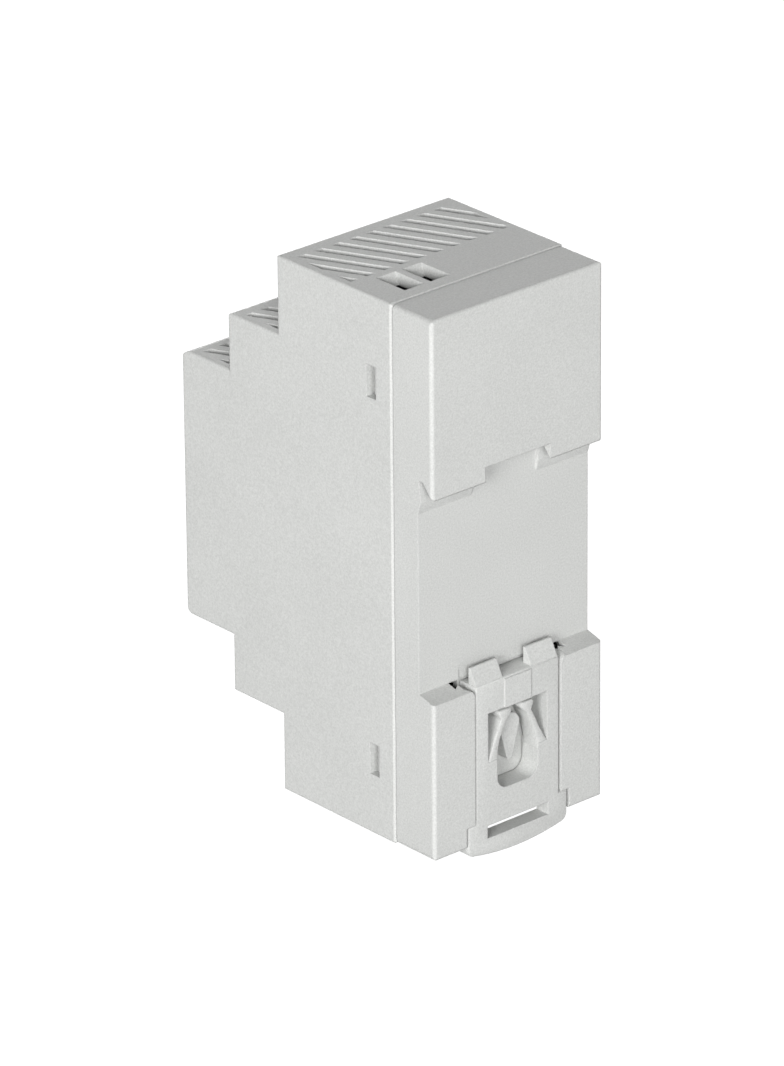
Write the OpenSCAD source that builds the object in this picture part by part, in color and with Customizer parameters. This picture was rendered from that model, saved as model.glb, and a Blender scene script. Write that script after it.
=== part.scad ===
// DIN rail power supply, two modules wide: a stepped box that clips on a 35 mm top-hat rail.
// Millimetres. Origin in the middle of the rail seat, +Y toward the rail and the wall behind it,
// +Z up, X across. The front panel faces -Y.

/* [Housing] */
// overall width, across the rail direction
body_w = 35; // [35:0.5:54]
// overall height
body_h = 90; // [90:0.5:110]
// rail seat to front panel
body_d = 54.7; // [54.7:0.1:68]
// wall thickness of both shells
wall = 1.8; // [1.5:0.05:2.2]
// depth of the rail recess, rear face to seat
seat_d = 3.3; // [3.3:0.1:4]
// depth of the rear shell, rear face to parting line
shell_d = 8.9; // [8.9:0.1:10]
// height of the front panel
front_h = 45; // [41:0.5:47]
// front-to-back depth at the terminals, from the rail seat
shoulder_d = 31.8; // [31.8:0.1:36]
// height of each terminal shoulder
shoulder_h = 13; // [13:0.1:14]

/* [Rail clip] */
// height of the rail the seat takes
rail_h = 35; // [34.6:0.1:35]
// half width of the sliding latch plate
latch_hw = 8.6; // [8:0.1:9.5]
// thickness of the latch plate
latch_t = 3.7; // [3.4:0.1:3.8]
// gap between latch and slot, each side
latch_gap = 0.3; // [0.2:0.05:0.4]
// how far the latch pulls down
latch_travel = 4.5; // [3:0.1:4.6]
// radius of the fat end of the cam the spring arms ride on
cam_r = 2; // [1.6:0.05:2.05]

/* [Ventilation] */
// spacing of the slanted slots, across the width
slot_pitch = 3.47; // [3:0.05:4.4]
// width of a slot, measured across the width
slot_w = 1.7; // [1.2:0.05:2]
// slant of the slots from the front-to-back direction, degrees
slot_angle = 25.9; // [0:0.1:35]

/* [Terminals] */
// spacing of the terminals
pole_pitch = 5.2; // [5:0.05:6.2]
// centre of the input pair, from the middle
input_x = 7.8; // [5:0.1:8]
// number of output terminals
outputs = 4; // [2, 4]
// radius of the terminal screw thread (M3)
screw_r = 1.5; // [1.25:0.05:1.6]
// radius of the screw head
head_r = 1.9; // [1.7:0.05:2.1]
// how far a clamp cage rises
cage_travel = 2.5; // [1.5:0.1:2.6]

/* [Electronics] */
// circuit board thickness
pcb_t = 1.6; // [1:0.1:1.7]
// bulk capacitor radius
bulk_r = 8; // [6:0.1:8.2]
// bulk capacitor height
bulk_h = 25; // [20:0.5:30]
// output capacitor radius
outcap_r = 4.8; // [3:0.1:4.9]
// output capacitor height
outcap_h = 20; // [12:0.5:24]
// toroid radius of the input choke
choke_r = 4.4; // [3.8:0.1:4.5]
// height of the transformer core
core_h = 20; // [16:0.5:24]

/* [Hidden] */
$fn = 48;
xw = body_w / 2;
zt = body_h / 2;
ys = seat_d;                       // rear face
yp = seat_d - shell_d;             // parting line
y1 = -shoulder_d;                  // front of the terminal shoulders
y2 = y1 - 0.511 * (body_d - shoulder_d);
y3 = -body_d;                      // front panel
z2 = zt - shoulder_h;
z3 = front_h / 2;
xi = xw - wall;                    // inside faces of the cover
rail_z = rail_h / 2;
shelf_z = -rail_z - 0.1;           // foot of the lower shelf, at the seat
lip_z = rail_z - 2;                // edge of the hook lip
groove_z = rail_z + 0.5;           // top of the groove behind the lip
notch_hw = 6.6;                    // half width of the gap in the lip
pocket_y = ys - 0.3 - latch_t - 0.1;   // floor of the latch pocket
latch_y1 = ys - 0.15;              // rear face of the latch plate
latch_y0 = latch_y1 - latch_t;
latch_z1 = -rail_z - 0.7;          // top of the latch plate
latch_z0 = -zt + 3.45;             // where the plate widens
window_z1 = latch_z1 - 5.15;       // top of the window in the plate
window_z0 = window_z1 - 8.3;
pivot_x = 5.0;
pivot_z = window_z0 - 0.95;
knuckle_r = 0.9;
cam_z = window_z1 - 4.45;
snap_zs = [zt - 14.1, -zt + 12.75];
bx = xi - 0.3;                     // half width of the main board
by1 = yp + 1.16;                   // rear face of the main board
by0 = by1 - pcb_t;                 // front face of the main board
tz = zt - 7.8;                     // height of the terminal screws
bar_y = by0 - 7.9;                 // centre of the contact bars
in_xs = [input_x - pole_pitch / 2, input_x + pole_pitch / 2];
out_xs = [for (i = [0 : outputs - 1]) (i - (outputs - 1) / 2) * pole_pitch];
cpcb_x = -xi + 3.4;                // component side of the control board
led_p = [cpcb_x + 2.1, -14];       // x and z of the indicator
trim_p = [cpcb_x + 3.3, -3.7];     // x and z of the trimmer
front_in = y3 + wall;

shell_grey = [0.80, 0.80, 0.79];
brass = [0.80, 0.66, 0.34];
steel = [0.72, 0.73, 0.75];
tin = [0.80, 0.80, 0.80];

// ---- shapes used more than once ----

module box(x0, x1, y0, y1, z0, z1) translate([x0, y0, z0]) cube([x1 - x0, y1 - y0, z1 - z0]);

// an outline drawn as (y, z), swept along x
module along_x(x0, x1) translate([x0, 0, 0]) rotate([90, 0, 90]) linear_extrude(x1 - x0) children();

// an outline drawn as (x, z), swept along y
module along_y(y0, y1) translate([0, y1, 0]) rotate([90, 0, 0]) linear_extrude(y1 - y0) children();

// an outline drawn as (x, y), swept along z
module along_z(z0, z1) translate([0, 0, z0]) linear_extrude(z1 - z0) children();

module rect(u0, u1, v0, v1) translate([u0, v0]) square([u1 - u0, v1 - v0]);

module rrect(u0, u1, v0, v1, r) {
    rect(u0 + r, u1 - r, v0, v1);
    rect(u0, u1, v0 + r, v1 - r);
    for (u = [u0 + r, u1 - r], v = [v0 + r, v1 - r]) translate([u, v]) circle(r);
}

// a box with every edge rounded: rx on the edges along x, and so on
module soft_box(x0, x1, y0, y1, z0, z1, rx, ry, rz) intersection() {
    along_x(x0 - 1, x1 + 1) rrect(y0, y1, z0, z1, rx);
    along_y(y0 - 1, y1 + 1) rrect(x0, x1, z0, z1, ry);
    along_z(z0 - 1, z1 + 1) rrect(x0, x1, y0, y1, rz);
}

module rod_y(x, z, r, y0, y1) translate([x, y1, z]) rotate([90, 0, 0]) cylinder(h = y1 - y0, r = r);

// two circles joined by their tangents, one above the other
module teardrop(z_big, r_big, z_small, r_small) {
    s = (r_big - r_small) / (z_big - z_small);
    c = sqrt(1 - s * s);
    translate([0, z_big]) circle(r_big);
    translate([0, z_small]) circle(r_small);
    polygon([[r_big * c, z_big - r_big * s], [r_small * c, z_small - r_small * s],
             [-r_small * c, z_small - r_small * s], [-r_big * c, z_big - r_big * s]]);
}

// wire leads through the main board at each (x, z)
module leads(ps, from = 0.6) for (p = ps) rod_y(p[0], p[1], 0.35, by0 - from, by1 + 1.2);

// slanted ventilation slots between two depths, cut down through z0..z1
module vent_slots(yf, yr, z0, z1, hw) {
    run = (yr - yf) * tan(slot_angle);
    n = ceil((hw + run) / slot_pitch) + 1;
    intersection() {
        box(-hw, hw, yf, yr, z0 - 1, z1 + 1);
        along_z(z0, z1)
            for (i = [-n : n]) let (x = i * slot_pitch + 0.75)
                if (x + slot_w + run > 1 - hw && x < hw - 1) polygon([[x, yr], [x + slot_w, yr], [x + slot_w + run, yf], [x + run, yf]]);
    }
}

// funnel that guides a wire: wide at the outer face, narrow inside
module funnel(x, s) {
    yc = bar_y + 2.4;
    intersection() {
        along_y(yc - 5, yc + 5)
            polygon([[x - 2.27, s * (zt + 1.2)], [x + 2.27, s * (zt + 1.2)],
                     [x + 1.5, s * (zt - 2)], [x - 1.5, s * (zt - 2)]]);
        along_x(x - 4, x + 4)
            polygon([[yc - 4.15, s * (zt + 1.2)], [yc + 4.15, s * (zt + 1.2)],
                     [yc + 1.9, s * (zt - 2)], [yc - 1.9, s * (zt - 2)]]);
    }
}

// ---- housing ----

module cover_outside() {
    intersection() {
        union() {
            soft_box(-xw, xw, y1, yp + 9, -zt, zt, 0.5, 0.45, 0.45);
            soft_box(-xw, xw, y2, -8, -z2, z2, 1.0, 0.5, 0.5);
            soft_box(-xw, xw, y3, -8, -z3, z3, 2.2, 0.6, 0.6);
        }
        box(-xw - 1, xw + 1, y3 - 1, yp, -zt - 1, zt + 1);
    }
}

// the fine bevel on the cover's rear rim that makes the parting line
module rim_bevel() {
    c = 0.4;
    for (m = [0, 1]) mirror([m, 0, 0]) along_z(-zt - 1, zt + 1)
        polygon([[xw - c, yp + 0.01], [xw + 1, yp + 0.01], [xw + 1, yp - 1 - c], [xw, yp - c]]);
    for (m = [0, 1]) mirror([0, 0, m]) along_x(-xw - 1, xw + 1)
        polygon([[yp + 0.01, zt - c], [yp + 0.01, zt + 1], [yp - 1 - c, zt + 1], [yp - c, zt]]);
}

module front_cover() color(shell_grey) difference() {
    union() {
        difference() {
            cover_outside();
            box(-xi, xi, y1 + wall, yp + 1, -zt + wall, zt - wall);
            box(-xi, xi, y2 + wall, -9, -z2 + wall, z2 - wall);
            box(-xi, xi, front_in, -9, -z3 + wall, z3 - wall);
            rim_bevel();
        }
        // screwdriver guides
        for (x = in_xs) rod_y(x, tz, head_r + 0.9, y1 + 0.5, by0 - 18.2);
        for (x = out_xs) rod_y(x, -tz, head_r + 0.9, y1 + 0.5, by0 - 18.2);
        // ribs that hold the main board down
        for (m = [0, 1], z = [-20.6, 19.2]) mirror([m, 0, 0])
            box(xi - 1, xi + 0.2, y1 + 3, by0, z, z + 1.4);
    }
    // ventilation: shoulders and both steps, top and bottom
    for (m = [0, 1]) mirror([0, 0, m]) {
        vent_slots(y1 + 2.6, bar_y - 2.3, zt - wall - 0.1, zt + 1, xw - 1.4);
        vent_slots(y2 + 2.6, y1 - 1.6, z2 - wall - 0.1, z2 + 1, xw - 1.4);
        vent_slots(y3 + 3.2, y2 - 1.6, z3 - wall - 0.1, z3 + 1, xw - 1.4);
    }
    for (x = in_xs) funnel(x, 1);
    for (x = out_xs) funnel(x, -1);
    for (x = in_xs) rod_y(x, tz, head_r + 0.2, y1 - 1, by0 - 18);
    for (x = out_xs) rod_y(x, -tz, head_r + 0.2, y1 - 1, by0 - 18);
    // windows for the snap hooks of the rear shell
    for (m = [0, 1], z = snap_zs) mirror([m, 0, 0])
        box(xi - 0.6, xw + 1, yp - 5.75, yp - 3.6, z - 2.65, z + 2.65);
    // indicator and trimmer openings, and a shallow field for a label
    rod_y(led_p[0], led_p[1], 1.55, y3 - 1, y3 + wall + 1);
    rod_y(trim_p[0], trim_p[1], 2.1, y3 - 1, y3 + wall + 1);
    box(-4.4, xw - 2.6, y3 - 1, y3 + 0.25, -z3 + 4, z3 - 4);
}

// what the rail channel takes out of the rear shell, as (y, z)
module channel_outline() polygon([
    [0, lip_z - 3.1], [0.3, lip_z - 2.3], [0.6, lip_z - 1.1], [0.3, groove_z],
    [1.15, groove_z], [ys, lip_z], [ys + 1.5, lip_z], [ys + 1.5, shelf_z - 0.9],
    [ys, shelf_z - 0.9], [0, shelf_z]]);

module rear_base() color(shell_grey) {
    pocket_hw = latch_hw + latch_gap;
    wide_hw = latch_hw + 2.1;
    difference() {
        union() {
            difference() {
                intersection() {
                    soft_box(-xw + 0.1, xw - 0.1, yp - 8, ys, -zt + 0.1, zt - 0.1, 0.6, 0.9, 0.6);
                    box(-xw, xw, yp + 0.2, ys + 1, -zt, zt);
                }
                // hollow inside, stepping round the channel and the latch pocket
                box(-xi + 0.1, xi - 0.1, yp - 1, ys - wall, groove_z + 2, zt - wall);
                box(-xi + 0.1, xi - 0.1, yp - 1, -wall, shelf_z - 2, groove_z + 2.1);
                box(-xi + 0.1, xi - 0.1, yp - 1, pocket_y - wall, -zt + wall, shelf_z - 1.9);
                for (m = [0, 1]) mirror([m, 0, 0])
                    box(latch_hw + 4.6, xi - 0.1, pocket_y - wall - 1, ys - wall,
                        -zt + wall, shelf_z - 2.7);
            }
            // snap hooks that hold the cover
            for (m = [0, 1], z = snap_zs) mirror([m, 0, 0]) {
                box(xi - 1.5, xi + 0.2, yp + 0.2, yp + 3, z - 2.3, z + 2.3);
                box(xi - 1.5, xi - 0.15, yp - 6.4, yp + 0.3, z - 2.3, z + 2.3);
                along_z(z - 2.3, z + 2.3)
                    polygon([[xi - 0.3, yp - 5.7], [xi - 0.15, yp - 5.7], [xi + 0.95, yp - 4.8],
                             [xi + 0.95, yp - 3.9], [xi - 0.3, yp - 3.9]]);
            }
            // posts under the main board
            for (m = [0, 1], z = [zt - 4, 1, -5, -zt + 4]) mirror([m, 0, 0])
                rod_y(xi - 3, z, 1.5, by1, z > 20 ? ys - 0.5 : -0.5);
        }
        along_x(-xw - 1, xw + 1) channel_outline();
        // gap in the lip, with the seat running up through it
        box(-notch_hw, notch_hw, 0, ys + 1, lip_z - 4, groove_z);
        // the seat eases away under the latch noses
        along_x(-pocket_hw - 0.4, pocket_hw + 0.4)
            polygon([[0, shelf_z + 2.4], [1, shelf_z + 2.4], [1, shelf_z], [-0.15, shelf_z]]);
        // latch pocket, its wider foot, and the grooves for the latch's side rails
        box(-pocket_hw, pocket_hw, pocket_y, ys + 1, -zt - 1, shelf_z);
        box(-wide_hw, wide_hw, pocket_y, ys + 1, -zt - 1, latch_z0 + 0.15);
        for (m = [0, 1]) mirror([m, 0, 0]) {
            along_z(-zt - 1, shelf_z)
                polygon([[pocket_hw - 0.5, pocket_y], [pocket_hw - 0.5, 0.4], [pocket_hw + 0.7, 0.4],
                         [pocket_hw + 2.5, 1.6], [pocket_hw + 2.5, pocket_y]]);
            box(pocket_hw, pocket_hw + 3.5, pocket_y - wall - 1.5, -0.05, shelf_z - 4.2, shelf_z - 0.4);
            along_y(0.4, ys + 1) difference() {
                rect(pocket_hw - 0.5, pocket_hw + 1.4, shelf_z - 2.1, shelf_z + 0.5);
                translate([pocket_hw + 1.4, shelf_z - 2.1]) circle(1.4);
            }
        }
    }
    // cam the spring arms ride on
    along_y(pocket_y - 0.2, ys - 2) teardrop(cam_z, cam_r, cam_z - 5.3, 0.6);
}

// ---- rail latch ----

module latch_plate() difference() {
    union() {
        box(-latch_hw, latch_hw, latch_y0, latch_y1, latch_z0 - 0.5, latch_z1);
        // foot with a curved lower edge
        intersection() {
            along_y(latch_y0, latch_y1)
                rrect(-latch_hw - 1.7, latch_hw + 1.7, -zt - 1.85, latch_z0 + 1.6, 1.5);
            box(-latch_hw - 2, latch_hw + 2, latch_y0 - 1, latch_y1 + 1, -zt - 4, latch_z0);
        }
        intersection() {
            box(-latch_hw - 0.2, latch_hw + 0.2, latch_y0, latch_y1, -zt - 4, -zt - 1);
            rod_y(0, -zt - 2.75 + 44, 44, latch_y0 - 1, latch_y1 + 1);
        }
    }
    // window, and the flame-shaped opening below it
    box(-6.1, 6.1, latch_y0 - 1, latch_y1 + 1, window_z0, window_z1);
    along_y(latch_y0 - 1, latch_y1 + 1)
        polygon([[-4.25, window_z0 + 0.5], [-4.22, window_z0 - 3.3], [-3.6, window_z0 - 4.35],
                 [-2.2, window_z0 - 4.95], [0, window_z0 - 5.2], [2.2, window_z0 - 4.95],
                 [3.6, window_z0 - 4.35], [4.22, window_z0 - 3.3], [4.25, window_z0 + 0.5]]);
    // seats for the roots of the spring arms
    for (m = [0, 1]) mirror([m, 0, 0]) {
        rod_y(pivot_x, pivot_z, knuckle_r + 0.05, latch_y0 - 1, latch_y1 + 1);
        box(3.9, 6.1, latch_y0 - 1, latch_y1 + 1, pivot_z + 0.45, window_z0 + 0.1);
    }
    // room for the cam when the latch is pulled down
    box(-cam_r - 0.45, cam_r + 0.45, latch_y0 - 1, ys - 1.75, window_z1 - 0.1, window_z1 + 2.5);
    // pull loop for a screwdriver, thinner than the plate
    box(-6.3, 6.3, latch_y0 - 1, latch_y1 + 1, -zt + 0.45, -zt + 2.6);
    box(-latch_hw - 3, latch_hw + 3, latch_y0 - 1, latch_y1 - 2.65, -zt - 4, -zt + 2.6);
}

module latch() color(shell_grey) {
    latch_plate();
    // raised band in the middle
    box(-2.75, 2.75, latch_y1 - 0.2, ys, window_z1 + 0.1, latch_z1 - 0.3);
    // noses that reach over the rail edge
    for (m = [0, 1]) mirror([m, 0, 0]) along_x(2.9, latch_hw - 0.2)
        polygon([[latch_y1, latch_z1 - 0.3], [latch_y1, latch_z1], [1.55, latch_z1 + 2.7],
                 [1.2, latch_z1 + 2.7], [1.2, latch_z1 - 0.3]]);
    // side rails that run in the grooves of the rear shell
    for (m = [0, 1]) mirror([m, 0, 0]) along_z(latch_z0 + 1, latch_z1 - 1.2)
        polygon([[latch_hw - 0.3, latch_y0 + 0.1], [latch_hw - 0.3, 0.1],
                 [latch_hw + 1.15, 0.1], [latch_hw + 2.4, 0.9], [latch_hw + 2.4, latch_y0 + 0.1]]);
}

// one spring arm, on the +x side
module spring_arm() {
    rod_y(pivot_x, pivot_z, knuckle_r, latch_y0 + 0.4, latch_y1 - 0.3);
    along_y(latch_y0 + 0.4, latch_y1 - 0.3)
        polygon([[4.2, pivot_z + 0.1], [4.0, window_z0 + 0.6], [3.5, window_z0 + 3.05],
                 [1.9, window_z1 - 2.15], [1.0, window_z1 - 1.35], [1.25, window_z1 - 0.65],
                 [3.35, window_z1 - 0.75], [3.5, window_z1 - 1.4], [2.95, window_z1 - 2.15],
                 [4.4, window_z0 + 3.05], [5.65, window_z0 + 0.25], [5.8, pivot_z + 0.1]]);
}

module latch_arm_left() color(shell_grey) mirror([1, 0, 0]) spring_arm();
module latch_arm_right() color(shell_grey) spring_arm();

// ---- terminals ----

// body of a terminal block: poles at xs, on the side s of the board
module terminal_block(xs, s) color([0.22, 0.24, 0.26]) mirror([0, 0, s < 0 ? 1 : 0]) difference() {
    box(xs[0] - pole_pitch / 2, xs[len(xs) - 1] + pole_pitch / 2, by0 - 18, by0, tz - 4.3, tz + 5.2);
    for (x = xs) {
        box(x - 2.25, x + 2.25, by0 - 14.1, by0 - 1, tz - 2.4, tz + 2.4);
        rod_y(x, tz, screw_r + 0.1, by0 - 16, by0 - 14);
        rod_y(x, tz, head_r + 0.1, by0 - 17.1, by0 - 15);
        rod_y(x, tz, head_r - 0.2, by0 - 19, by0 - 17);
        box(x - 1.5, x + 1.5, bar_y + 0.6, bar_y + 4.7, tz + 2, tz + 6);
        box(x - 1.2, x + 1.2, bar_y - 0.45, by0 + 1, tz - 3.9, tz - 2);
        box(x - 1.2, x + 1.2, bar_y - 0.45, bar_y + 0.45, tz + 2, tz + 3.65);
    }
}

module input_terminal_block() terminal_block(in_xs, 1);
module output_terminal_block() terminal_block(out_xs, -1);

// tinned bars the wires are clamped against, with their legs down to the board
module contacts(xs, s) color(tin) mirror([0, 0, s < 0 ? 1 : 0]) for (x = xs) {
    box(x - 1.15, x + 1.15, bar_y - 0.4, bar_y + 0.4, tz - 3.85, tz + 3.6);
    box(x - 0.6, x + 0.6, bar_y, by1 + 1.2, tz - 3.85, tz - 3.05);
}

module input_contacts() contacts(in_xs, 1);
module output_contacts() contacts(out_xs, -1);

module screw_at(x, z) color(steel) difference() {
    union() {
        rod_y(x, z, screw_r, by0 - 15.2, by0 - 8.6);
        rod_y(x, z, head_r, by0 - 16.9, by0 - 15.1);
    }
    box(x - 1.6, x + 1.6, by0 - 18, by0 - 16, z - 0.3, z + 0.3);
    box(x - 0.25, x + 0.25, by0 - 18, by0 - 16.1, z - 1.2, z + 1.2);
}

module cage_at(x, z) color(brass) difference() {
    box(x - 2.15, x + 2.15, by0 - 11.3, by0 - 2.2, z - 2.3, z + 2.3);
    box(x - screw_r - 0.12, x + screw_r + 0.12, by0 - 10.1, by0 - 3.0, z - 3, z + 3);
    rod_y(x, z, screw_r + 0.1, by0 - 12, by0 - 9);
}

module screw_in_1() screw_at(in_xs[0], tz);
module screw_in_2() screw_at(in_xs[1], tz);
module screw_out_1() screw_at(out_xs[0], -tz);
module screw_out_2() screw_at(out_xs[1], -tz);
module screw_out_3() if (outputs > 2) screw_at(out_xs[2], -tz);
module screw_out_4() if (outputs > 2) screw_at(out_xs[3], -tz);
module cage_in_1() cage_at(in_xs[0], tz);
module cage_in_2() cage_at(in_xs[1], tz);
module cage_out_1() cage_at(out_xs[0], -tz);
module cage_out_2() cage_at(out_xs[1], -tz);
module cage_out_3() if (outputs > 2) cage_at(out_xs[2], -tz);
module cage_out_4() if (outputs > 2) cage_at(out_xs[3], -tz);

// ---- circuit boards and what stands on them ----

fuse_p = [-5.4, tz + 0.2];
mov_p = [-11.6, tz];
xcap_z = z2 - 3.8;
choke_p = [6.7, z2 - 6.5];
ntc_p = [-3.4, 21.6];
bridge_z = 21.7;
bulk_p = [xi - bulk_r - 1.3, 9.3];
mos_z = 15.6;
tr_p = [2.4, -8.6];
ycap_p = [-8.0, 1.4];
opto_p = [-10.0, -10.7];
od_z = -17.5;
cap_zs = [-25.9, -27.6];
cap_xs = [-8.7, 9.1];
ind_p = [0.4, -28.2];

fuse_leads = [for (d = [-2.54, 2.54]) fuse_p + [d, 0]];
mov_leads = [for (d = [-2.5, 2.5]) mov_p + [0.6 * sign(d), d]];
xcap_leads = [for (d = [-5, 5]) [-7.4 + d, xcap_z]];
choke_leads = [for (u = [-4.5, 4.5], v = [-3, 3]) choke_p + [u, v]];
ntc_leads = [for (d = [-2, 2]) ntc_p + [d, 0]];
bridge_leads = [for (i = [0 : 3]) [-12.8 + 1.7 * i, bridge_z]];
bulk_leads = [for (d = [-3.75, 3.75]) bulk_p + [0, d]];
mos_leads = [for (i = [-1 : 1]) [-7.6 + 2.54 * i, mos_z - 2.4]];
tr_leads = [for (i = [-2 : 2], s = [-1, 1]) tr_p + [2.5 * i, 6.6 * s]];
ycap_leads = [for (d = [-2.3, 2.3]) ycap_p + [d, 0]];
opto_leads = [for (u = [-1.27, 1.27], v = [-2.6, 2.6]) opto_p + [u, v]];
od_leads = [for (i = [-1 : 1]) [1.6 + 2.54 * i, od_z - 3.9]];
cap_leads = [for (i = [0, 1], d = [-2.5, 2.5]) [cap_xs[i] + d, cap_zs[i]]];
ind_leads = [for (d = [-2.5, 2.5]) ind_p + [d, 0]];
header_leads = [for (i = [0 : 3]) [cpcb_x + 1.2, 4.6 + 1.27 * i]];
all_leads = concat(fuse_leads, mov_leads, xcap_leads, choke_leads, ntc_leads, bridge_leads,
    bulk_leads, mos_leads, tr_leads, ycap_leads, opto_leads, od_leads, cap_leads, ind_leads,
    header_leads);

module main_pcb() color([0.13, 0.42, 0.24]) difference() {
    box(-bx, bx, by0, by1, -zt + wall + 0.4, zt - wall - 0.4);
    for (m = [0, 1], z = snap_zs) mirror([m, 0, 0])
        box(xi - 1.8, xw, by0 - 1, by1 + 1, z - 2.7, z + 2.7);
    for (p = all_leads) rod_y(p[0], p[1], 0.42, by0 - 1, by1 + 1);
    for (x = in_xs) box(x - 0.7, x + 0.7, by0 - 1, by1 + 1, tz - 3.95, tz - 2.95);
    for (x = out_xs) box(x - 0.7, x + 0.7, by0 - 1, by1 + 1, -tz + 2.95, -tz + 3.95);
}

module control_pcb() color([0.13, 0.42, 0.24])
    box(cpcb_x - 1.6, cpcb_x, front_in + 3, by0, -19, 9);

module pin_header() {
    color([0.12, 0.12, 0.13]) box(cpcb_x, cpcb_x + 2.4, by0 - 2.5, by0, 3.8, 9);
    color(brass) for (p = header_leads) {
        leads([p], 0);
        rod_y(p[0], p[1], 0.32, by0 - 3.6, by0 - 2.4);
        box(cpcb_x, p[0], by0 - 4.2, by0 - 3.6, p[1] - 0.32, p[1] + 0.32);
    }
}

module control_ic() color([0.14, 0.14, 0.15]) {
    box(cpcb_x + 0.2, cpcb_x + 1.7, -24, -19, -14, -10);
    for (i = [0 : 3], z = [-15, -10.1])
        box(cpcb_x, cpcb_x + 0.4, -23.6 + 1.27 * i, -23.2 + 1.27 * i, z, z + 1.1);
}

module dc_ok_led() {
    color([0.35, 0.85, 0.45]) {
        rod_y(led_p[0], led_p[1], 1.5, y3 + 5.0, y3 + 8);
        rod_y(led_p[0], led_p[1], 1.9, y3 + 8, y3 + 9);
    }
    color(tin) for (d = [-1.27, 1.27])
        box(cpcb_x, led_p[0] + 0.25, y3 + 8.8, y3 + 9.6, led_p[1] + d - 0.25, led_p[1] + d + 0.25);
}

module light_pipe() color([0.9, 0.95, 0.95]) {
    rod_y(led_p[0], led_p[1], 1.5, y3 - 0.2, y3 + wall);
    rod_y(led_p[0], led_p[1], 1.9, y3 + wall, y3 + wall + 0.8);
    rod_y(led_p[0], led_p[1], 1.5, y3 + wall + 0.7, y3 + 4.8);
}

module trimmer_body() color([0.20, 0.36, 0.62]) difference() {
    box(trim_p[0] - 3.3, trim_p[0] + 3.3, y3 + 2.6, y3 + 7.2, trim_p[1] - 3.3, trim_p[1] + 3.3);
    rod_y(trim_p[0], trim_p[1], 2.3, y3 + 2, y3 + 4.2);
}

module trimmer_rotor() color([0.93, 0.93, 0.90]) difference() {
    rod_y(trim_p[0], trim_p[1], 2.2, y3 + 2.2, y3 + 4.1);
    box(trim_p[0] - 1.6, trim_p[0] + 1.6, y3 + 1, y3 + 3.1, trim_p[1] - 0.35, trim_p[1] + 0.35);
}

module fuse() {
    color([0.16, 0.15, 0.15]) rod_y(fuse_p[0], fuse_p[1], 4.1, by0 - 8.2, by0 - 0.4);
    color(tin) leads(fuse_leads, 0.4);
}

module varistor() {
    color([0.16, 0.30, 0.60]) translate([mov_p[0] - 1.8, by0 - 6.6, mov_p[1]])
        rotate([0, 90, 0]) cylinder(h = 3.6, r = 4.4);
    color(tin) leads(mov_leads, 3.4);
}

module ntc() {
    color([0.20, 0.28, 0.22]) translate([ntc_p[0], by0 - 5, ntc_p[1] - 1.6]) cylinder(h = 3.2, r = 2.9);
    color(tin) leads(ntc_leads, 3.4);
}

module x_capacitor() {
    color([0.86, 0.72, 0.24]) soft_box(-13.8, -1.0, by0 - 12, by0 - 0.4, xcap_z - 3, xcap_z + 3,
        0.4, 0.4, 0.4);
    color(tin) leads(xcap_leads, 0.4);
}

module choke_ring(h, angle) translate([choke_p[0], by0 - 4.2, choke_p[1]]) rotate([90, 0, 0])
    rotate([0, 0, h]) rotate_extrude(angle = angle) translate([choke_r, 0]) children();

module choke_core() color([0.25, 0.27, 0.26]) choke_ring(0, 360) circle(2.2);

module choke_windings() {
    color([0.75, 0.42, 0.22]) for (h = [20, 200]) choke_ring(h, 140) difference() {
        circle(2.75);
        circle(2.25);
    }
    color(tin) leads(choke_leads, 1.95);
}

module bridge_rectifier() {
    color([0.15, 0.15, 0.16]) box(-13.6, -7.0, by0 - 8, by0 - 1.4, bridge_z - 1.7, bridge_z + 1.7);
    color(tin) leads(bridge_leads, 1.5);
}

module bulk_capacitor() {
    color([0.18, 0.20, 0.26]) difference() {
        rod_y(bulk_p[0], bulk_p[1], bulk_r, by0 - bulk_h - 0.4, by0 - 0.4);
        rod_y(bulk_p[0], bulk_p[1], bulk_r - 1.2, by0 - bulk_h - 1, by0 - bulk_h - 0.1);
    }
    color(tin) leads(bulk_leads, 0.4);
}

// a power transistor or diode in a tab package, tab against z_tab, body on the side s
module tab_package(x, z_tab, s) mirror([0, 0, s > 0 ? 0 : 1]) {
    z = z_tab * s;
    color(steel) difference() {
        box(x - 5, x + 5, by0 - 17.5, by0 - 3, z, z + 1.2);
        rod_y(x, z, 1.8, by0 - 16, by0 - 14);
        translate([x, by0 - 14.9, z - 1]) cylinder(h = 4, r = 1.8);
    }
    color([0.14, 0.14, 0.15]) box(x - 5, x + 5, by0 - 12, by0 - 3, z + 1.2, z + 4.4);
    color(tin) for (i = [-1 : 1])
        box(x + 2.54 * i - 0.4, x + 2.54 * i + 0.4, by0 - 3.1, by0 - 0.2, z + 2.0, z + 2.5);
}

module mosfet() {
    tab_package(-7.6, mos_z - 0.02, -1);
    color(tin) leads(mos_leads, 0.5);
}

module primary_heatsink() color([0.78, 0.79, 0.80]) {
    box(-13.2, -2.4, by0 - 20, by0 - 0.3, mos_z, mos_z + 1.6);
}

module output_diode() {
    tab_package(1.6, od_z - 1.52, -1);
    color(tin) leads(od_leads, 0.5);
}

module output_heatsink() color([0.78, 0.79, 0.80]) {
    box(-9.5, 11, by0 - 20, by0 - 0.3, od_z - 1.5, od_z);
}

module transformer_core() color([0.22, 0.22, 0.24]) difference() {
    box(tr_p[0] - 10, tr_p[0] + 10, by0 - core_h - 1.6, by0 - 1.6, tr_p[1] - 3.2, tr_p[1] + 3.2);
    for (m = [-1, 1]) translate([tr_p[0] + m * 4.9, 0, 0])
        box(-2.3, 2.3, by0 - core_h + 1.3, by0 - 4.5, tr_p[1] - 4, tr_p[1] + 4);
}

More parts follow.
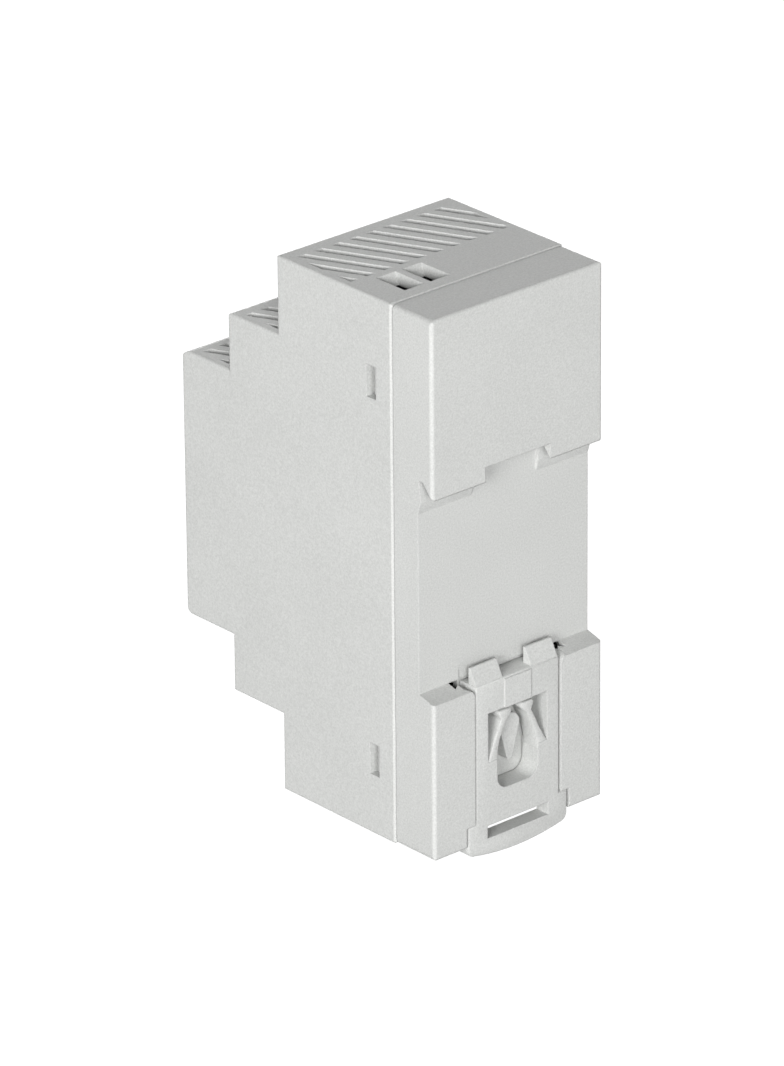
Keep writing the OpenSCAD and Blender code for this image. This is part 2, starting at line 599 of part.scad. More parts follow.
module transformer_bobbin() {
    ya = by0 - core_h + 1.5;
    yb = by0 - 4.7;
    color([0.16, 0.15, 0.14]) difference() {
        union() {
            box(tr_p[0] - 3.5, tr_p[0] + 3.5, ya, yb, tr_p[1] - 4.2, tr_p[1] + 4.2);
            for (y = [ya, yb - 0.9])
                box(tr_p[0] - 7.0, tr_p[0] + 7.0, y, y + 0.9, tr_p[1] - 8, tr_p[1] + 8);
            for (s = [-1, 1])
                box(tr_p[0] - 7.0, tr_p[0] + 7.0, yb - 0.5, by0 - 0.4,
                    tr_p[1] + s * 6.6 - 1.3, tr_p[1] + s * 6.6 + 1.3);
        }
        box(tr_p[0] - 2.7, tr_p[0] + 2.7, ya - 1, yb + 1, tr_p[1] - 3.3, tr_p[1] + 3.3);
    }
    color(tin) leads(tr_leads, 0.4);
}

module transformer_winding() color([0.92, 0.80, 0.30]) difference() {
    box(tr_p[0] - 6.6, tr_p[0] + 6.6, by0 - core_h + 2.5, by0 - 5.7, tr_p[1] - 7.3, tr_p[1] + 7.3);
    box(tr_p[0] - 3.6, tr_p[0] + 3.6, by0 - 40, by0, tr_p[1] - 4.3, tr_p[1] + 4.3);
}

module y_capacitor() {
    color([0.20, 0.42, 0.72]) translate([ycap_p[0], by0 - 5, ycap_p[1] - 1.6]) cylinder(h = 3.2, r = 3.3);
    color(tin) leads(ycap_leads, 3.0);
}

module optocoupler() {
    color([0.90, 0.90, 0.88]) box(opto_p[0] - 1.8, opto_p[0] + 1.8, by0 - 3.9, by0 - 0.4,
        opto_p[1] - 2.3, opto_p[1] + 2.3);
    color(tin) leads(opto_leads, 2);
}

module output_capacitors() for (i = [0, 1]) {
    color([0.16, 0.30, 0.24]) difference() {
        rod_y(cap_xs[i], cap_zs[i], outcap_r, by0 - outcap_h - 0.4, by0 - 0.4);
        rod_y(cap_xs[i], cap_zs[i], outcap_r - 0.9, by0 - outcap_h - 1, by0 - outcap_h - 0.15);
    }
    color(tin) leads([cap_leads[2 * i], cap_leads[2 * i + 1]], 0.4);
}

module output_inductor() {
    color([0.28, 0.28, 0.30]) for (y = [by0 - 9.4, by0 - 1.8]) rod_y(ind_p[0], ind_p[1], 3.8, y, y + 1.4);
    color([0.28, 0.28, 0.30]) rod_y(ind_p[0], ind_p[1], 1.8, by0 - 8.2, by0 - 1.6);
    color([0.75, 0.42, 0.22]) difference() {
        rod_y(ind_p[0], ind_p[1], 3.4, by0 - 8, by0 - 1.8);
        rod_y(ind_p[0], ind_p[1], 1.75, by0 - 9, by0 - 1);
    }
    color(tin) leads(ind_leads, 0.4);
}

// ---- nodes ----

front_cover();
rear_base();
latch();
latch_arm_left();
latch_arm_right();
main_pcb();
control_pcb();
pin_header();
control_ic();
dc_ok_led();
light_pipe();
trimmer_body();
trimmer_rotor();
input_terminal_block();
output_terminal_block();
input_contacts();
output_contacts();
screw_in_1();
screw_in_2();
screw_out_1();
screw_out_2();
screw_out_3();
screw_out_4();
cage_in_1();
cage_in_2();
cage_out_1();
cage_out_2();
cage_out_3();
cage_out_4();
fuse();
varistor();
ntc();
x_capacitor();
choke_core();
choke_windings();
bridge_rectifier();
bulk_capacitor();
mosfet();
primary_heatsink();
transformer_core();
transformer_bobbin();
transformer_winding();
y_capacitor();
optocoupler();
output_diode();
output_heatsink();
output_capacitors();
output_inductor();
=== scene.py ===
# %% [markdown]
# # A DIN rail power supply
# The engineering model of the power supply is loaded first: every moulded shell, board, screw
# and coil is already there at its true size, in metres. The middle of the rail seat is the
# origin, +Y points at the wall, +Z is up. This lesson gives those parts their real finishes,
# models the springy rail latch again as one smooth moulding, and lights the result.

# %% Load the engineering model
import math
import bmesh
import bpy
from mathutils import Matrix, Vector


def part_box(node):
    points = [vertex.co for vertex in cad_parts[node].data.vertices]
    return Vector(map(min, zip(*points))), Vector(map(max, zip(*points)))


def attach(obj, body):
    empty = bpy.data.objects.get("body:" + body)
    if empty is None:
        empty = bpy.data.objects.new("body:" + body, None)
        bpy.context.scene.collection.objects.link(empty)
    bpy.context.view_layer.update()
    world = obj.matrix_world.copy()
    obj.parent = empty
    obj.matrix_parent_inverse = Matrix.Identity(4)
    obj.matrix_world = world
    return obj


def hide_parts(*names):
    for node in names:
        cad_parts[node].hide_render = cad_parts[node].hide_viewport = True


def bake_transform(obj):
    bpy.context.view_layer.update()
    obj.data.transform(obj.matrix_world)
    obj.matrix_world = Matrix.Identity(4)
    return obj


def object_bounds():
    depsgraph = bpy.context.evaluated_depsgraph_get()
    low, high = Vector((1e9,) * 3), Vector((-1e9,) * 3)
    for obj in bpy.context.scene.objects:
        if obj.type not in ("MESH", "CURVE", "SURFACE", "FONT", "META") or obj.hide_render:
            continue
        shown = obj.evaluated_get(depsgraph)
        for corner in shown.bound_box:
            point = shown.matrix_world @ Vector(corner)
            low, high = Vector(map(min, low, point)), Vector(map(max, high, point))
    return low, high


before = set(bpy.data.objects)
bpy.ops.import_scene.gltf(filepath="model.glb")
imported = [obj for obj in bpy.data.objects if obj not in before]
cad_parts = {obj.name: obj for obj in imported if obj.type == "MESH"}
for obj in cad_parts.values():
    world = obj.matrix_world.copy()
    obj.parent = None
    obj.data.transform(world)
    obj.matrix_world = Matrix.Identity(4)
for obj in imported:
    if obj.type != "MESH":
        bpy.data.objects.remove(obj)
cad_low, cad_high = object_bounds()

MM = 0.001

# %% [markdown]
# ## Small helpers
# Operators work on whatever is selected, exactly as they do by hand. So before each step the
# selection is cleared, and inside edit mode faces or edges are picked by where they are or
# which way they face. These few helpers do only that.

# %% Selecting and finishing
def deselect_all():
    """Leave edit mode and let go of everything."""
    if bpy.context.object and bpy.context.object.mode != "OBJECT":
        bpy.ops.object.mode_set(mode="OBJECT")
    bpy.ops.object.select_all(action="DESELECT")


def pick(piece):
    """Make one piece the only selected and active one."""
    deselect_all()
    piece.select_set(True)
    bpy.context.view_layer.objects.active = piece


def pick_in(piece, kind, test):
    """In edit mode, select only the faces, edges or vertices whose middle passes the test."""
    pick(piece)
    bpy.ops.object.mode_set(mode="EDIT")
    mesh = bmesh.from_edit_mesh(piece.data)
    for element in (*mesh.verts, *mesh.edges, *mesh.faces):
        element.select = False
    bpy.ops.mesh.select_mode(type={"faces": "FACE", "edges": "EDGE", "verts": "VERT"}[kind])
    for element in getattr(mesh, kind):
        points = [v.co for v in getattr(element, "verts", [element])]
        middle = sum(points, Vector()) / len(points)
        normal = element.normal if kind != "edges" else (points[1] - points[0]).normalized()
        if test(middle / MM, normal):
            element.select_set(True)
    bmesh.update_edit_mesh(piece.data)


def apply_modifier(piece, kind, **settings):
    """Add a modifier, set it and apply it at once."""
    pick(piece)
    modifier = piece.modifiers.new(kind.title(), kind)
    for key, value in settings.items():
        setattr(modifier, key, value)
    bpy.ops.object.modifier_apply(modifier=modifier.name)


def block(name, low, high):
    """A cube primitive stretched between two corners given in millimetres."""
    deselect_all()
    low, high = Vector(low) * MM, Vector(high) * MM
    bpy.ops.mesh.primitive_cube_add(size=1, location=(low + high) / 2)
    piece = bpy.context.object
    piece.name = piece.data.name = name
    piece.scale = high - low
    bpy.ops.object.transform_apply(location=True, rotation=True, scale=True)
    return piece


def rod(name, x, z, radius, y0, y1, sides=240):
    """A cylinder primitive lying along Y, between two depths in millimetres."""
    deselect_all()
    bpy.ops.mesh.primitive_cylinder_add(
        vertices=sides, radius=radius * MM, depth=(y1 - y0) * MM,
        location=(x * MM, (y0 + y1) / 2 * MM, z * MM), rotation=(math.pi / 2, 0, 0))
    piece = bpy.context.object
    piece.name = piece.data.name = name
    bpy.ops.object.transform_apply(location=True, rotation=True, scale=True)
    return piece


def combine(piece, tool, operation):
    """Cut with, join with or keep what is shared with another piece, which is then used up."""
    apply_modifier(piece, "BOOLEAN", operation=operation, object=tool, solver="EXACT")
    bpy.data.objects.remove(tool, do_unlink=True)


def smooth(piece, angle):
    """Shade the faces smoothly, except across edges sharper than the angle in degrees."""
    pick(piece)
    bpy.ops.object.shade_smooth_by_angle(angle=math.radians(angle))


def dress(piece, finish):
    """Give a piece one finish all over."""
    piece.data.materials.clear()
    piece.data.materials.append(finish)

# %% [markdown]
# ## Camera
# The camera stands a little over a metre away with a long lens, behind and to the right of the
# power supply and above it, so that the rail side, the long flank and the top all show.

# %% Camera
camera = bpy.data.objects.new("Camera", bpy.data.cameras.new("Camera"))
bpy.context.scene.collection.objects.link(camera)
camera.location = (0.77750, 0.85883, 0.52777)
camera.rotation_euler = (math.radians(65.6772), math.radians(0.4550), math.radians(138.4788))
camera.data.sensor_width = 36.0
camera.data.lens = 282.27
camera.data.clip_start, camera.data.clip_end = 0.05, 20.0
bpy.context.scene.camera = camera
print("camera distance (m):", round(camera.location.length, 3))

# %% [markdown]
# ## Light
# Pale plastic shows its shape only through gentle steps of grey. Two soft panels stand low
# beside the camera, one towards the flank and one towards the rail side. A face that looks
# straight at either of them is bright, an edge that looks between them is brightest of all,
# and the top, which they only graze, is the darkest. That is what draws the parting line and
# the walls of the vents. A third, larger panel keeps the front from going dark. The
# surroundings are dim, a little brighter below than above, as over a pale floor.

# %% Light panels
def light_panel(name, place, aim, size, power):
    lamp = bpy.data.lights.new(name, "AREA")
    lamp.shape = "RECTANGLE"
    lamp.size, lamp.size_y = size
    lamp.energy = power
    holder = bpy.data.objects.new(name, lamp)
    bpy.context.scene.collection.objects.link(holder)
    holder.location = place
    holder.rotation_euler = (Vector(aim) - Vector(place)).to_track_quat("-Z", "Y").to_euler()


SMALL_PANEL, LARGE_PANEL = (0.6, 0.6), (0.9, 0.9)
light_panel("Flank panel", (1.340, 0.712, 0.43), (0, -0.02, 0), SMALL_PANEL, 21.3)
light_panel("Rail side panel", (0.760, 1.316, 0.43), (0, 0, 0), SMALL_PANEL, 18.6)
light_panel("Front panel", (-0.9, -1.25, 0.12), (0, -0.02, 0), LARGE_PANEL, 22.0)

world = bpy.data.worlds.new("Dim studio")
bpy.context.scene.world = world
world.use_nodes = True
sky = world.node_tree
direction = sky.nodes.new("ShaderNodeTexCoord").outputs["Generated"]
height = sky.nodes.new("ShaderNodeSeparateXYZ")
fade = sky.nodes.new("ShaderNodeMapRange")
for field, value in {"From Min": -0.1, "From Max": 0.2, "To Min": 0.32, "To Max": 0.12}.items():
    fade.inputs[field].default_value = value
sky.links.new(direction, height.inputs["Vector"])
sky.links.new(height.outputs["Z"], fade.inputs["Value"])
sky.links.new(fade.outputs["Result"], sky.nodes["Background"].inputs["Strength"])
sky.nodes["Background"].inputs["Color"].default_value = (1, 1, 1, 1)
bpy.context.scene.view_settings.view_transform = "Standard"

# %% [markdown]
# ## Finishes
# Every finish starts from what the real part is made of and how its surface was made. Colours
# are written as the hex values a designer would note down, and one function turns them into
# the linear light values that the renderer mixes.

# %% Colour and node helpers
def linear(hex_colour):
    """sRGB hex to linear light, with full opacity."""
    values = [int(hex_colour[i:i + 2], 16) / 255 for i in (1, 3, 5)]
    return (*[v / 12.92 if v <= 0.04045 else ((v + 0.055) / 1.055) ** 2.4 for v in values], 1.0)


def add_node(tree, kind, settings=None, links=None):
    """Add a node, set its fields and sockets, and link other nodes' outputs to its inputs."""
    node = tree.nodes.new(kind)
    for key, value in (settings or {}).items():
        if isinstance(key, str) and hasattr(node, key):
            setattr(node, key, value)
        else:
            node.inputs[key].default_value = value
    for key, output in (links or {}).items():
        tree.links.new(output, node.inputs[key])
    return node


def new_finish(name, roughness, metallic=0.0, ior=1.5, hex_colour="#808080"):
    """A material with its main shader set, ready for pattern nodes."""
    material = bpy.data.materials.new(name)
    material.use_nodes = True
    shader = material.node_tree.nodes["Principled BSDF"]
    shader.inputs["Base Color"].default_value = linear(hex_colour)
    shader.inputs["Roughness"].default_value = roughness
    shader.inputs["Metallic"].default_value = metallic
    if not metallic:
        shader.inputs["IOR"].default_value = ior
    return material, material.node_tree, shader


def ramp(tree, factor, stops):
    """A colour ramp with the given (position, hex colour) stops."""
    node = add_node(tree, "ShaderNodeValToRGB", links={"Fac": factor})
    while len(node.color_ramp.elements) < len(stops):
        node.color_ramp.elements.new(0.5)
    for element, (position, hex_colour) in zip(node.color_ramp.elements, stops):
        element.position = position
        element.color = linear(hex_colour)
    return node.outputs["Color"]

# %% [markdown]
# ### Light grey PC-ABS, moulded in a spark-eroded tool
# Installation housings are moulded in flame-retardant PC-ABS against a spark-eroded tool. The
# grain is about 0.1 mm and gives a dull, even surface with no clear reflections. At this
# picture size 0.1 mm is finer than can be seen, so the grain is drawn at 0.28 mm. A second,
# much larger pattern gives the faint cloudiness that thick and thin spots leave.

# %% Housing plastic
def moulded_plastic(name, light_hex, dark_hex, roughness, grain_mm, grain_depth_mm, edge_mm=0.0):
    material, tree, shader = new_finish(name, roughness, ior=1.55)
    where = add_node(tree, "ShaderNodeTexCoord").outputs["Object"]
    grain = add_node(tree, "ShaderNodeTexNoise",
                     {"Scale": 1 / (grain_mm * MM), "Detail": 3.0, "Roughness": 0.6},
                     {"Vector": where})
    cloud = add_node(tree, "ShaderNodeTexNoise",
                     {"Scale": 1 / (14 * MM), "Detail": 2.0, "Roughness": 0.5}, {"Vector": where})
    blend = add_node(tree, "ShaderNodeMath", {"operation": "MULTIPLY_ADD", 1: 0.12},
                     {0: cloud.outputs["Fac"]})
    share = add_node(tree, "ShaderNodeMath", {"operation": "MULTIPLY", 1: 0.88},
                     {0: grain.outputs["Fac"]})
    tree.links.new(share.outputs["Value"], blend.inputs[2])
    tree.links.new(ramp(tree, blend.outputs["Value"], [(0.3, dark_hex), (0.7, light_hex)]),
                   shader.inputs["Base Color"])
    rough = add_node(tree, "ShaderNodeMapRange",
                     {"From Min": 0.3, "From Max": 0.7, "To Min": roughness - 0.06,
                      "To Max": roughness + 0.06}, {"Value": grain.outputs["Fac"]})
    tree.links.new(rough.outputs["Result"], shader.inputs["Roughness"])
    bump = add_node(tree, "ShaderNodeBump", {"Strength": 0.5, "Distance": grain_depth_mm * MM},
                    {"Height": grain.outputs["Fac"]})
    if edge_mm:
        edge = add_node(tree, "ShaderNodeBevel", {"samples": 4, "Radius": edge_mm * MM})
        tree.links.new(edge.outputs["Normal"], bump.inputs["Normal"])
    tree.links.new(bump.outputs["Normal"], shader.inputs["Normal"])
    return material


housing_plastic = moulded_plastic("PC-ABS light grey, spark-eroded grain", "#C7C8C6", "#AFB0AE",
                                  0.62, 0.28, 0.05, edge_mm=0.22)
print("finish:", housing_plastic.name)

# %% [markdown]
# ### Circuit board
# The boards are FR4 glass laminate under a green solder mask. Copper tracks show through the
# mask as slightly lighter, slightly raised fields about 2 mm wide. A Voronoi pattern with its
# edges cut square gives such fields without drawing every track.

# %% Board finish
def solder_mask():
    material, tree, shader = new_finish("FR4 laminate, green solder mask", 0.32, ior=1.5)
    where = add_node(tree, "ShaderNodeTexCoord").outputs["Object"]
    fields = add_node(tree, "ShaderNodeTexVoronoi",
                      {"feature": "F1", "distance": "CHEBYCHEV", "Scale": 1 / (5 * MM)},
                      {"Vector": where})
    weave = add_node(tree, "ShaderNodeTexNoise", {"Scale": 1 / (0.5 * MM), "Detail": 2.0},
                     {"Vector": where})
    tree.links.new(ramp(tree, fields.outputs["Distance"],
                        [(0.0, "#2E7A48"), (0.36, "#2E7A48"), (0.4, "#1B5A34"), (1.0, "#1B5A34")]),
                   shader.inputs["Base Color"])
    height = add_node(tree, "ShaderNodeMath", {"operation": "MULTIPLY_ADD", 1: 0.3},
                      {0: weave.outputs["Fac"], 2: fields.outputs["Distance"]})
    bump = add_node(tree, "ShaderNodeBump", {"Strength": 0.35, "Distance": 0.04 * MM},
                    {"Height": height.outputs["Value"]})
    tree.links.new(bump.outputs["Normal"], shader.inputs["Normal"])
    return material


board_finish = solder_mask()
print("finish:", board_finish.name)

# %% [markdown]
# ### Metals
# A metal's grey is its reflectance, so its base colour is light and its roughness decides how
# sharp the reflections are. Stamped and sheared parts carry fine lines in one direction; a
# noise pattern stretched along one axis draws them.

# %% Metal finishes
def lined_metal(name, hex_light, hex_dark, roughness, line_mm, along=(1, 1, 14)):
    material, tree, shader = new_finish(name, roughness, metallic=1.0, hex_colour=hex_light)
    where = add_node(tree, "ShaderNodeTexCoord").outputs["Object"]
    stretch = add_node(tree, "ShaderNodeMapping", {"Scale": [1 / v for v in along]},
                       {"Vector": where})
    lines = add_node(tree, "ShaderNodeTexNoise",
                     {"Scale": 1 / (line_mm * MM), "Detail": 4.0, "Roughness": 0.65},
                     {"Vector": stretch.outputs["Vector"]})
    tree.links.new(ramp(tree, lines.outputs["Fac"], [(0.32, hex_dark), (0.68, hex_light)]),
                   shader.inputs["Base Color"])
    rough = add_node(tree, "ShaderNodeMapRange",
                     {"From Min": 0.3, "From Max": 0.7, "To Min": roughness + 0.10,
                      "To Max": roughness - 0.06}, {"Value": lines.outputs["Fac"]})
    tree.links.new(rough.outputs["Result"], shader.inputs["Roughness"])
    bump = add_node(tree, "ShaderNodeBump", {"Strength": 0.3, "Distance": 0.01 * MM},
                    {"Height": lines.outputs["Fac"]})
    tree.links.new(bump.outputs["Normal"], shader.inputs["Normal"])
    return material


zinc_steel = lined_metal("Steel screw, blue-passivated zinc", "#C9CDD2", "#A4A8AE", 0.28, 0.3)
nickel_brass = lined_metal("Brass clamp cage, stamped", "#DDB766", "#B68D43", 0.30, 0.35)
tinned_copper = lined_metal("Tinned copper bar", "#D6D7D8", "#B4B5B6", 0.34, 0.4)
sheet_aluminium = lined_metal("Aluminium sheet, sheared", "#D9DADC", "#BDBEC0", 0.36, 0.3)
magnet_wire = lined_metal("Enamelled copper wire, wound", "#D98A52", "#8E4A22", 0.30, 0.35,
                          (14, 1, 1))
print("metal finishes: 5")

# %% [markdown]
# ### Plastics, epoxy and ferrite inside the housing
# The terminal blocks and coil formers are glass-filled nylon, the chips are black epoxy, the
# disc parts are dipped in blue epoxy, and the cores are sintered ferrite. They share one
# recipe, a speckled base with a little bump, because what tells them apart is colour, gloss
# and the size of the speckle.

# %% Inner finishes
def speckled(name, hex_light, hex_dark, roughness, speck_mm, depth_mm, ior=1.5, coat=0.0):
    material, tree, shader = new_finish(name, roughness, ior=ior, hex_colour=hex_light)
    shader.inputs["Coat Weight"].default_value = coat
    shader.inputs["Coat Roughness"].default_value = 0.12
    where = add_node(tree, "ShaderNodeTexCoord").outputs["Object"]
    specks = add_node(tree, "ShaderNodeTexNoise",
                      {"Scale": 1 / (speck_mm * MM), "Detail": 4.0, "Roughness": 0.6},
                      {"Vector": where})
    tree.links.new(ramp(tree, specks.outputs["Fac"], [(0.35, hex_dark), (0.65, hex_light)]),
                   shader.inputs["Base Color"])
    bump = add_node(tree, "ShaderNodeBump", {"Strength": 0.4, "Distance": depth_mm * MM},
                    {"Height": specks.outputs["Fac"]})
    tree.links.new(bump.outputs["Normal"], shader.inputs["Normal"])
    return material


dark_nylon = speckled("Glass-filled nylon, dark grey", "#4A4C4E", "#3C3E40", 0.50, 0.4, 0.02)
black_epoxy = speckled("Black moulding epoxy", "#2B2B2C", "#202021", 0.45, 0.2, 0.01, 1.55)
white_epoxy = speckled("White moulding epoxy", "#E9E8E2", "#DAD9D2", 0.42, 0.25, 0.01, 1.55)
blue_dip = speckled("Blue dipped epoxy", "#2D63B4", "#224F96", 0.22, 1.2, 0.03, 1.55, 0.5)
green_dip = speckled("Dark green silicone dip", "#35483A", "#27372C", 0.40, 0.8, 0.03)
ferrite = speckled("Sintered ferrite, ground", "#3E3F42", "#313236", 0.42, 0.25, 0.02, 1.8)
film_box = speckled("PBT capacitor box, yellow", "#D8B23C", "#C9A22E", 0.36, 0.6, 0.01)
coil_tape = speckled("Polyester coil tape, amber", "#E3BE4E", "#D2A93A", 0.20, 2.5, 0.04, 1.6, 0.6)
can_sleeve = speckled("PVC can sleeve, blue-black", "#2C3A57", "#253048", 0.25, 1.5, 0.01, 1.53,
                      0.3)
trim_blue = speckled("Blue PBT trimmer body", "#2F69AE", "#275A98", 0.38, 0.4, 0.01)
trim_white = speckled("White PBT rotor", "#EEEDE8", "#E0DFDA", 0.40, 0.4, 0.01)
led_epoxy = speckled("Green diffused LED epoxy", "#8FE39A", "#78D386", 0.25, 0.5, 0.005, 1.53)
print("inner finishes: 12")

# %% [markdown]
# ### Clear light guide
# The indicator's light reaches the panel through a small rod of clear acrylic. Full
# transmission with an acrylic's index of 1.49 makes it clear; a faint grain on its end keeps
# it from looking like a hole.

# %% Acrylic
def clear_acrylic():
    material, tree, shader = new_finish("Clear acrylic, moulded", 0.12, ior=1.49,
                                        hex_colour="#EAF6EC")
    shader.inputs["Transmission Weight"].default_value = 0.85
    where = add_node(tree, "ShaderNodeTexCoord").outputs["Object"]
    grain = add_node(tree, "ShaderNodeTexNoise", {"Scale": 1 / (0.3 * MM)}, {"Vector": where})
    bump = add_node(tree, "ShaderNodeBump", {"Strength": 0.2, "Distance": 0.01 * MM},
                    {"Height": grain.outputs["Fac"]})
    tree.links.new(bump.outputs["Normal"], shader.inputs["Normal"])
    return material


acrylic = clear_acrylic()
print("finish:", acrylic.name)

# %% [markdown]
# ## Giving every engineered part its finish
# A part from the engineering model keeps its shape; only its material slots are filled.

# %% Parts and their finishes
FINISHES = {
    housing_plastic: ["front_cover", "rear_base", "latch", "latch_arm_left", "latch_arm_right"],
    board_finish: ["main_pcb", "control_pcb"],
    black_epoxy: ["control_ic", "pin_header", "fuse", "bridge_rectifier", "mosfet",
                  "output_diode"],
    dark_nylon: ["input_terminal_block", "output_terminal_block", "transformer_bobbin"],
    white_epoxy: ["optocoupler"],
    led_epoxy: ["dc_ok_led"],
    acrylic: ["light_pipe"],
    trim_blue: ["trimmer_body"],
    trim_white: ["trimmer_rotor"],
    tinned_copper: ["input_contacts", "output_contacts"],
    zinc_steel: ["screw_in_1", "screw_in_2", "screw_out_1", "screw_out_2", "screw_out_3",
                 "screw_out_4"],
    nickel_brass: ["cage_in_1", "cage_in_2", "cage_out_1", "cage_out_2", "cage_out_3",
                   "cage_out_4"],
    blue_dip: ["varistor", "y_capacitor"],
    green_dip: ["ntc"],
    film_box: ["x_capacitor"],
    ferrite: ["choke_core", "transformer_core"],
    magnet_wire: ["choke_windings", "output_inductor"],
    coil_tape: ["transformer_winding"],
    can_sleeve: ["bulk_capacitor", "output_capacitors"],
    sheet_aluminium: ["primary_heatsink", "output_heatsink"],
}
dressed = 0
for finish, names in FINISHES.items():
    for name in names:
        dress(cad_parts[name], finish)
        dressed += 1
print("parts dressed:", dressed, "of", len(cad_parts))

# %% [markdown]
# ## The rail latch
# The latch is one moulding: a plate that slides in a slot, two noses that reach over the rail's
# lower edge, a loop to pull it down by, and two spring arms inside its window. The plate starts
# as a cube and gets a wider foot with rounded corners and a gently curved lower edge. The rim
# of its rear face is rounded by hand before anything is joined on, so the rounding is even.

# %% Latch plate
foot_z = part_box("latch")[0][2] / MM       # lowest point of the foot
base_z = foot_z + 2.75                    # underside of the housing
top_z = -18.2                             # upper edge of the plate
wide_z = base_z + 3.45                    # where the plate widens into the foot
front_y, rear_y = -0.55, 3.15             # front and rear face
FOOT_RADIUS = 44                          # of the foot's curved lower edge

plate = block("Latch", (-8.6, front_y, wide_z - 0.6), (8.6, rear_y, top_z))
foot = block("foot", (-10.3, front_y, foot_z + 0.9), (10.3, rear_y, wide_z))
pick_in(foot, "edges", lambda p, n: p.z < foot_z + 1 and abs(n.y) > 0.9)
bpy.ops.mesh.bevel(offset=1.5 * MM, segments=8, affect="EDGES")
deselect_all()
curve = block("foot curve", (-8.8, front_y, foot_z - 1), (8.8, rear_y, foot_z + 1.6))
disc = rod("disc", 0, foot_z + FOOT_RADIUS, FOOT_RADIUS, front_y - 1, rear_y + 1)
combine(curve, disc, "INTERSECT")
combine(foot, curve, "UNION")
combine(plate, foot, "UNION")
pick(plate)
bpy.ops.object.mode_set(mode="EDIT")
bpy.ops.mesh.select_all(action="SELECT")
bpy.ops.mesh.dissolve_limited(angle_limit=math.radians(0.5))
pick_in(plate, "edges", lambda p, n: p.y > rear_y - 0.01)
bpy.ops.mesh.bevel(offset=0.3 * MM, segments=3, affect="EDGES")
deselect_all()
print("plate faces:", len(plate.data.polygons))

# %% [markdown]
# A raised band runs down the middle above the window, so it is joined on before the window is
# cut, and both end in one clean edge. The flame's lower corners are well rounded, so its cutter
# is a cube whose two bottom edges are bevelled first. The pull loop is thinner than the plate,
# which leaves room for a screwdriver tip behind it. Behind the band a shallow recess lets the
# plate pass over the cam when it is pulled down.

# %% Band, window, flame and pull loop
band = block("band", (-2.75, rear_y - 0.6, -24.4), (2.75, cad_high.y / MM, -18.5))
combine(plate, band, "UNION")
combine(plate, block("window", (-6.1, -5, -31.65), (6.1, 6, -23.35)), "DIFFERENCE")
flame = block("flame", (-4.22, -5, -36.95), (4.22, 6, -30.0))
pick_in(flame, "edges", lambda p, n: p.z < -36.9 and abs(n.y) > 0.9)
bpy.ops.mesh.bevel(offset=2.1 * MM, segments=10, affect="EDGES")
deselect_all()
combine(plate, flame, "DIFFERENCE")
for name, cut_low, cut_high in (
        ("loop", (-6.3, -5, base_z + 0.45), (6.3, 6, base_z + 2.6)),
        ("cam room", (-2.45, -5, -24), (2.45, 1.55, -20.85)),
        ("finger room", (-12, -5, foot_z - 2), (12, rear_y - 2.65, base_z + 2.6))):
    combine(plate, block(name, cut_low, cut_high), "DIFFERENCE")
print("plate faces:", len(plate.data.polygons))

# %% [markdown]
# Each nose is a small block whose rear face is tipped back in edit mode: that ramp is what the
# rail's edge rides up when the power supply is snapped on. Low rails along both sides run in
# the grooves of the rear shell and keep the plate in its slot.

# %% Noses and side rails
nose_rear_y = rear_y - 0.04               # just inside the plate's rear face
NOSE_TIP_Y = 1.55                         # where the ramp ends at the nose's tip

for side in (-1, 1):
    nose = block("nose", (min(side * 2.9, side * 8.4), 1.2, top_z - 0.4),
                 (max(side * 2.9, side * 8.4), nose_rear_y, top_z + 2.7))
    pick_in(nose, "edges", lambda p, n: p.y > 2.9 and p.z > top_z + 2.6)
    bpy.ops.transform.translate(value=(0, (NOSE_TIP_Y - nose_rear_y) * MM, 0))
    deselect_all()
    combine(plate, nose, "UNION")
    rail = block("side rail", (min(side * 8.3, side * 11.0), front_y + 0.1, wide_z + 1),
                 (max(side * 8.3, side * 11.0), 0.9, top_z - 1.2))
    pick_in(rail, "edges", lambda p, n: abs(p.x) < 9 and p.y > 0.5 and abs(n.z) > 0.9)
    bpy.ops.transform.translate(value=(0, -0.8 * MM, 0))
    deselect_all()
    combine(plate, rail, "UNION")
smooth(plate, 30)
dress(plate, housing_plastic)
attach(plate, "latch_body")
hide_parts("latch")
print(plate.name, "faces:", len(plate.data.polygons))

# %% [markdown]
# ### Spring arms
# The arms grow out of the plate beside the flame, lean in, and end in small hammer heads that
# rest on the cam. Each is extruded upwards from its root, station by station, the way one
# draws out clay: at every station the top face is pushed to its new middle and width.

# %% Spring arms
STATIONS = [  # height, inner edge, outer edge, rear face
    (-32.4, 4.2, 6.3, 3.12), (-31.6, 4.15, 6.08, 3.1), (-30.9, 4.04, 5.65, 3.0),
    (-29.8, 3.8, 5.1, 2.9), (-28.6, 3.42, 4.5, 2.85), (-27.4, 2.9, 3.98, 2.85),
    (-26.4, 2.38, 3.5, 2.85), (-25.6, 1.95, 3.1, 2.85), (-25.15, 1.4, 3.25, 2.85),
    (-24.75, 1.05, 3.48, 2.85), (-24.3, 1.05, 3.5, 2.85), (-24.0, 1.3, 3.3, 2.8)]
ARM_EDGE = 40  # degrees: sharper edges than this are rounded by 0.12 mm


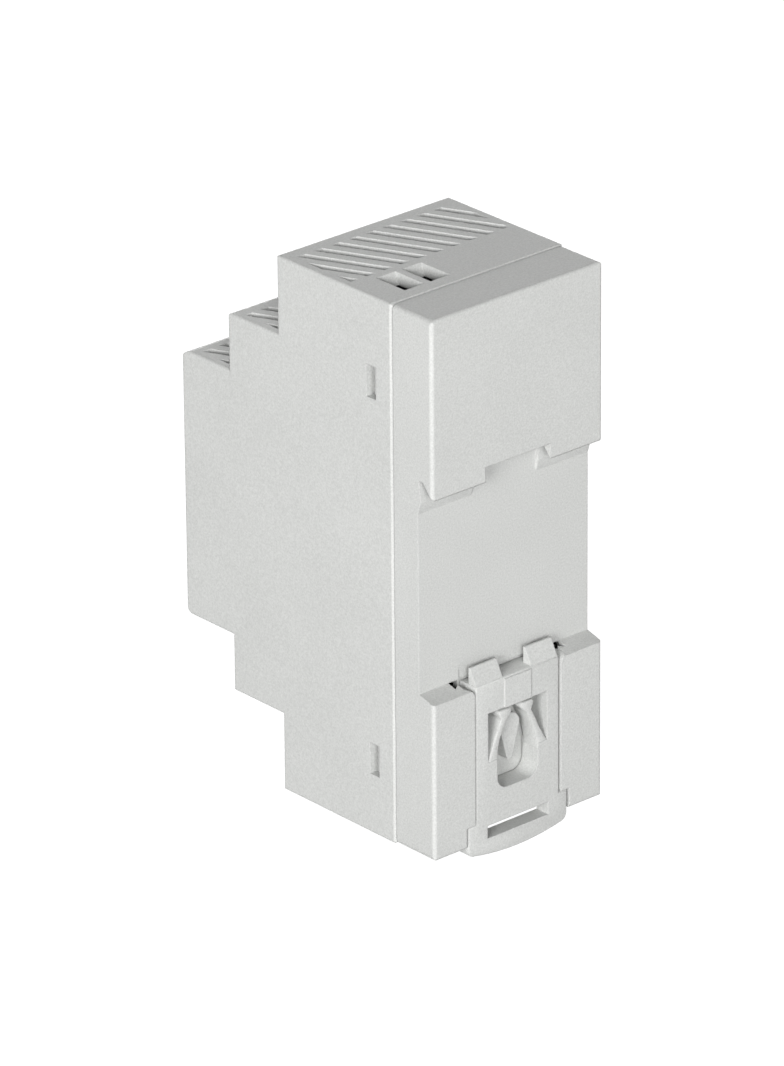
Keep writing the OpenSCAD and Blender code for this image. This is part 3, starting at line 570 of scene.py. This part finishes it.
def spring_arm(side):
    z0, inner, outer, rear = STATIONS[0]
    arm = block("Latch_arm_" + ("left" if side < 0 else "right"),
                (min(side * inner, side * outer), -0.3, z0 - 0.3),
                (max(side * inner, side * outer), rear, z0))
    height = z0
    for z, inner, outer, rear in STATIONS[1:]:
        pick_in(arm, "faces", lambda p, n: n.z > 0.7 and p.z > height - 0.01)
        bpy.ops.mesh.extrude_region_move(
            TRANSFORM_OT_translate={"value": (0, 0, (z - height) * MM)})
        mesh = bmesh.from_edit_mesh(arm.data)
        for vertex in (v for v in mesh.verts if v.select):
            near = abs(vertex.co.x) * 2 < sum(abs(v.co.x) for v in mesh.verts if v.select) / 2
            vertex.co.x = side * (inner if near else outer) * MM
            if vertex.co.y > 0:
                vertex.co.y = rear * MM
        bmesh.update_edit_mesh(arm.data)
        height = z
    deselect_all()
    apply_modifier(arm, "BEVEL", width=0.12 * MM, segments=2, limit_method="ANGLE",
                   angle_limit=math.radians(ARM_EDGE), harden_normals=False)
    smooth(arm, ARM_EDGE)
    dress(arm, housing_plastic)
    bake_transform(arm)
    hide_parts("latch_arm_left" if side < 0 else "latch_arm_right")
    print(arm.name, "faces:", len(arm.data.polygons))


spring_arm(-1)
spring_arm(1)

# %% [markdown]
# ## Floor
# A plain, nearly white floor, big enough that its edge is never seen. It lies just under the
# lowest point of the power supply. It shines by itself, so that it stays an even white, and
# it is kept from lighting the object, so that the panels shape the greys almost alone.

# %% Floor
FLOOR_GAP = 0.2 * MM
deselect_all()
bpy.ops.mesh.primitive_plane_add(size=8, location=(0, 0, cad_low.z - FLOOR_GAP))
floor = bpy.context.object
floor.name = "Floor"
bpy.ops.object.transform_apply(location=True, rotation=True, scale=True)
floor_paint, _, shader = new_finish("Matt white floor", 0.8, hex_colour="#404040")
shader.inputs["Emission Color"].default_value = (1, 1, 1, 1)
shader.inputs["Emission Strength"].default_value = 1.0
dress(floor, floor_paint)
floor.visible_diffuse = False
print("floor at (mm):", round((cad_low.z - FLOOR_GAP) / MM, 2))
